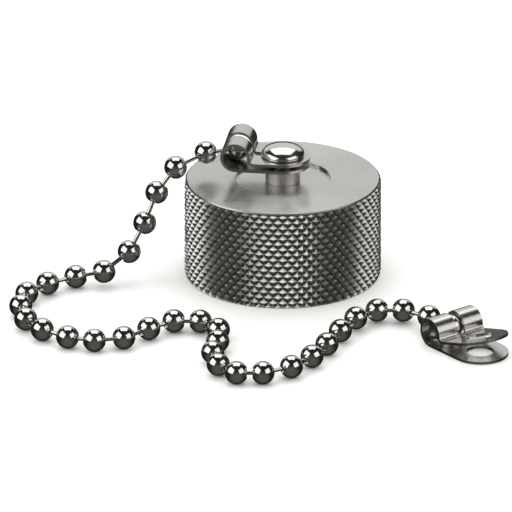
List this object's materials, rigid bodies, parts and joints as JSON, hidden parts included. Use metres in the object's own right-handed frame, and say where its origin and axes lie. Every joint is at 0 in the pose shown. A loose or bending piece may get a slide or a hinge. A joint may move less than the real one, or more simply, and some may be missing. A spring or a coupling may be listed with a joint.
{
  "type": "screw cap with bead chain",
  "caption": "Knurled nickel-plated screw-on protective cap with an inside thread, tethered by a bead chain with folded eyelet couplings",
  "frame": {"origin": "on the cap's axis, in the plane of its rim, which is the plane the cap and chain lie on", "axes": "+Z along the cap's axis, from its open mouth to its top; the chain leaves the cap towards -X and its free end lies towards +X, -Y"},
  "size_m": [0.0513, 0.0413, 0.0151],
  "materials": {
    "knurled_nickel": "nickel-plated brass, diamond-knurled side, fine-turned top",
    "strip_nickel": "nickel-plated brass strip, folded, satin",
    "rivet_nickel": "nickel-plated brass, turned and polished",
    "bead_nickel": "nickel-plated brass, drawn and tumbled bright",
    "seal_rubber": "black moulded rubber, matt"
  },
  "bodies": {
    "cap": {"cap_shell": "knurled_nickel", "seal_gasket": "seal_rubber", "rivet_washer": "strip_nickel", "rivet": "rivet_nickel"},
    "cap_tab": {"cap_coupling": "strip_nickel"},
    "link_00": {"bead_00": "bead_nickel"},
    "link_01": {"bead_01": "bead_nickel"},
    "link_02": {"bead_02": "bead_nickel"},
    "link_03": {"bead_03": "bead_nickel"},
    "link_04": {"bead_04": "bead_nickel"},
    "link_05": {"bead_05": "bead_nickel"},
    "link_06": {"bead_06": "bead_nickel"},
    "link_07": {"bead_07": "bead_nickel"},
    "link_08": {"bead_08": "bead_nickel"},
    "link_09": {"bead_09": "bead_nickel"},
    "link_10": {"bead_10": "bead_nickel"},
    "link_11": {"bead_11": "bead_nickel"},
    "link_12": {"bead_12": "bead_nickel"},
    "link_13": {"bead_13": "bead_nickel"},
    "link_14": {"bead_14": "bead_nickel"},
    "link_15": {"bead_15": "bead_nickel"},
    "link_16": {"bead_16": "bead_nickel"},
    "link_17": {"bead_17": "bead_nickel"},
    "link_18": {"bead_18": "bead_nickel"},
    "link_19": {"bead_19": "bead_nickel"},
    "link_20": {"bead_20": "bead_nickel"},
    "link_21": {"bead_21": "bead_nickel"},
    "link_22": {"bead_22": "bead_nickel"},
    "link_23": {"bead_23": "bead_nickel"},
    "link_24": {"bead_24": "bead_nickel"},
    "link_25": {"bead_25": "bead_nickel"},
    "link_26": {"bead_26": "bead_nickel"},
    "link_27": {"bead_27": "bead_nickel"},
    "link_28": {"bead_28": "bead_nickel"},
    "link_29": {"bead_29": "bead_nickel"},
    "link_30": {"bead_30": "bead_nickel"},
    "link_31": {"bead_31": "bead_nickel"},
    "link_32": {"bead_32": "bead_nickel"},
    "link_33": {"bead_33": "bead_nickel"},
    "end_tab": {"end_coupling": "strip_nickel"}
  },
  "joints": [
    {"name": "tab_swivel", "type": "hinge", "parent": "cap", "child": "cap_tab", "pos_m": [0, 0, 0.0124], "axis": [0, 0, 1], "continuous": true},
    {"name": "chain_lift", "type": "hinge", "parent": "cap_tab", "child": "link_00", "pos_m": [-0.00456, 0.00064, 0.01355], "axis": [0.1392, 0.9903, 0], "range_deg": [0, 100]},
    {"name": "end_tab_lift", "type": "hinge", "parent": "link_33", "child": "end_tab", "pos_m": [0.01733, -0.01848, 0.00155], "axis": [-0.7771, -0.6293, 0], "range_deg": [0, 80]},
    {"name": "link_01_bend", "type": "hinge", "parent": "link_00", "child": "link_01", "pos_m": [-0.00747, 0.00103, 0.01291], "axis": [0, 0, 1], "range_deg": [-20, 7]},
    {"name": "link_02_bend", "type": "hinge", "parent": "link_01", "child": "link_02", "pos_m": [-0.01063, 0.0002, 0.01177], "axis": [0, 0, -1], "range_deg": [-20, 20]},
    {"name": "link_03_bend", "type": "hinge", "parent": "link_02", "child": "link_03", "pos_m": [-0.01274, -0.00047, 0.00945], "axis": [0, 0, 1], "range_deg": [-20, 20]},
    {"name": "link_04_bend", "type": "hinge", "parent": "link_03", "child": "link_04", "pos_m": [-0.0141, -0.00148, 0.00654], "axis": [0, 0, -1], "range_deg": [-20, 20]},
    {"name": "link_05_bend", "type": "hinge", "parent": "link_04", "child": "link_05", "pos_m": [-0.01565, -0.00281, 0.00382], "axis": [0, 0, 1], "range_deg": [-20, 20]},
    {"name": "link_06_bend", "type": "hinge", "parent": "link_05", "child": "link_06", "pos_m": [-0.01811, -0.00401, 0.00196], "axis": [0, 0, -1], "range_deg": [-20, 20]},
    {"name": "link_07_bend", "type": "hinge", "parent": "link_06", "child": "link_07", "pos_m": [-0.02093, -0.00431, 0.00128], "axis": [0, 0, 1], "range_deg": [-20, 18]},
    {"name": "link_08_bend", "type": "hinge", "parent": "link_07", "child": "link_08", "pos_m": [-0.02388, -0.00586, 0.0012], "axis": [0, 0, -1], "range_deg": [-15, 20]},
    {"name": "link_09_bend", "type": "hinge", "parent": "link_08", "child": "link_09", "pos_m": [-0.02612, -0.0084, 0.0012], "axis": [0, 0, 1], "range_deg": [-20, 12]},
    {"name": "link_10_bend", "type": "hinge", "parent": "link_09", "child": "link_10", "pos_m": [-0.02693, -0.01168, 0.0012], "axis": [0, 0, -1], "range_deg": [-10, 20]},
    {"name": "link_11_bend", "type": "hinge", "parent": "link_10", "child": "link_11", "pos_m": [-0.02656, -0.01516, 0.0012], "axis": [0, 0, 1], "range_deg": [-20, 9]},
    {"name": "link_12_bend", "type": "hinge", "parent": "link_11", "child": "link_12", "pos_m": [-0.025, -0.01802, 0.0012], "axis": [0, 0, -1], "range_deg": [-9, 20]},
    {"name": "link_13_bend", "type": "hinge", "parent": "link_12", "child": "link_13", "pos_m": [-0.02252, -0.02015, 0.0012], "axis": [0, 0, 1], "range_deg": [-20, 9]},
    {"name": "link_14_bend", "type": "hinge", "parent": "link_13", "child": "link_14", "pos_m": [-0.01984, -0.02119, 0.0012], "axis": [0, 0, -1], "range_deg": [-10, 20]},
    {"name": "link_15_bend", "type": "hinge", "parent": "link_14", "child": "link_15", "pos_m": [-0.01684, -0.02076, 0.0012], "axis": [0, 0, 1], "range_deg": [-20, 11]},
    {"name": "link_16_bend", "type": "hinge", "parent": "link_15", "child": "link_16", "pos_m": [-0.01415, -0.01855, 0.0012], "axis": [0, 0, -1], "range_deg": [-12, 20]},
    {"name": "link_17_bend", "type": "hinge", "parent": "link_16", "child": "link_17", "pos_m": [-0.01161, -0.01649, 0.0012], "axis": [0, 0, 1], "range_deg": [-20, 15]},
    {"name": "link_18_bend", "type": "hinge", "parent": "link_17", "child": "link_18", "pos_m": [-0.009, -0.01626, 0.0012], "axis": [0, 0, -1], "range_deg": [-17, 20]},
    {"name": "link_19_bend", "type": "hinge", "parent": "link_18", "child": "link_19", "pos_m": [-0.00697, -0.01806, 0.0012], "axis": [0, 0, 1], "range_deg": [-20, 17]},
    {"name": "link_20_bend", "type": "hinge", "parent": "link_19", "child": "link_20", "pos_m": [-0.00669, -0.02103, 0.0012], "axis": [0, 0, -1], "range_deg": [-16, 20]},
    {"name": "link_21_bend", "type": "hinge", "parent": "link_20", "child": "link_21", "pos_m": [-0.00712, -0.02397, 0.0012], "axis": [0, 0, 1], "range_deg": [-20, 15]},
    {"name": "link_22_bend", "type": "hinge", "parent": "link_21", "child": "link_22", "pos_m": [-0.00673, -0.02719, 0.0012], "axis": [0, 0, -1], "range_deg": [-14, 20]},
    {"name": "link_23_bend", "type": "hinge", "parent": "link_22", "child": "link_23", "pos_m": [-0.00509, -0.02953, 0.0012], "axis": [0, 0, 1], "range_deg": [-20, 14]},
    {"name": "link_24_bend", "type": "hinge", "parent": "link_23", "child": "link_24", "pos_m": [-0.00256, -0.02991, 0.0012], "axis": [0, 0, -1], "range_deg": [-17, 20]},
    {"name": "link_25_bend", "type": "hinge", "parent": "link_24", "child": "link_25", "pos_m": [0.00042, -0.02851, 0.0012], "axis": [0, 0, 1], "range_deg": [-20, 20]},
    {"name": "link_26_bend", "type": "hinge", "parent": "link_25", "child": "link_26", "pos_m": [0.00266, -0.02593, 0.0012], "axis": [0, 0, -1], "range_deg": [-20, 20]},
    {"name": "link_27_bend", "type": "hinge", "parent": "link_26", "child": "link_27", "pos_m": [0.00429, -0.02276, 0.0012], "axis": [0, 0, 1], "range_deg": [-20, 20]},
    {"name": "link_28_bend", "type": "hinge", "parent": "link_27", "child": "link_28", "pos_m": [0.00571, -0.01946, 0.00129], "axis": [0, 0, -1], "range_deg": [-20, 20]},
    {"name": "link_29_bend", "type": "hinge", "parent": "link_28", "child": "link_29", "pos_m": [0.00727, -0.0163, 0.00137], "axis": [0, 0, 1], "range_deg": [-20, 20]},
    {"name": "link_30_bend", "type": "hinge", "parent": "link_29", "child": "link_30", "pos_m": [0.00934, -0.01394, 0.00131], "axis": [0, 0, -1], "range_deg": [-20, 20]},
    {"name": "link_31_bend", "type": "hinge", "parent": "link_30", "child": "link_31", "pos_m": [0.0119, -0.01369, 0.00134], "axis": [0, 0, 1], "range_deg": [-20, 20]},
    {"name": "link_32_bend", "type": "hinge", "parent": "link_31", "child": "link_32", "pos_m": [0.01465, -0.01576, 0.00158], "axis": [0, 0, -1], "range_deg": [-20, 20]},
    {"name": "link_33_bend", "type": "hinge", "parent": "link_32", "child": "link_33", "pos_m": [0.01698, -0.01812, 0.00156], "axis": [0, 0, 1], "range_deg": [-5, 5]}
  ]
}
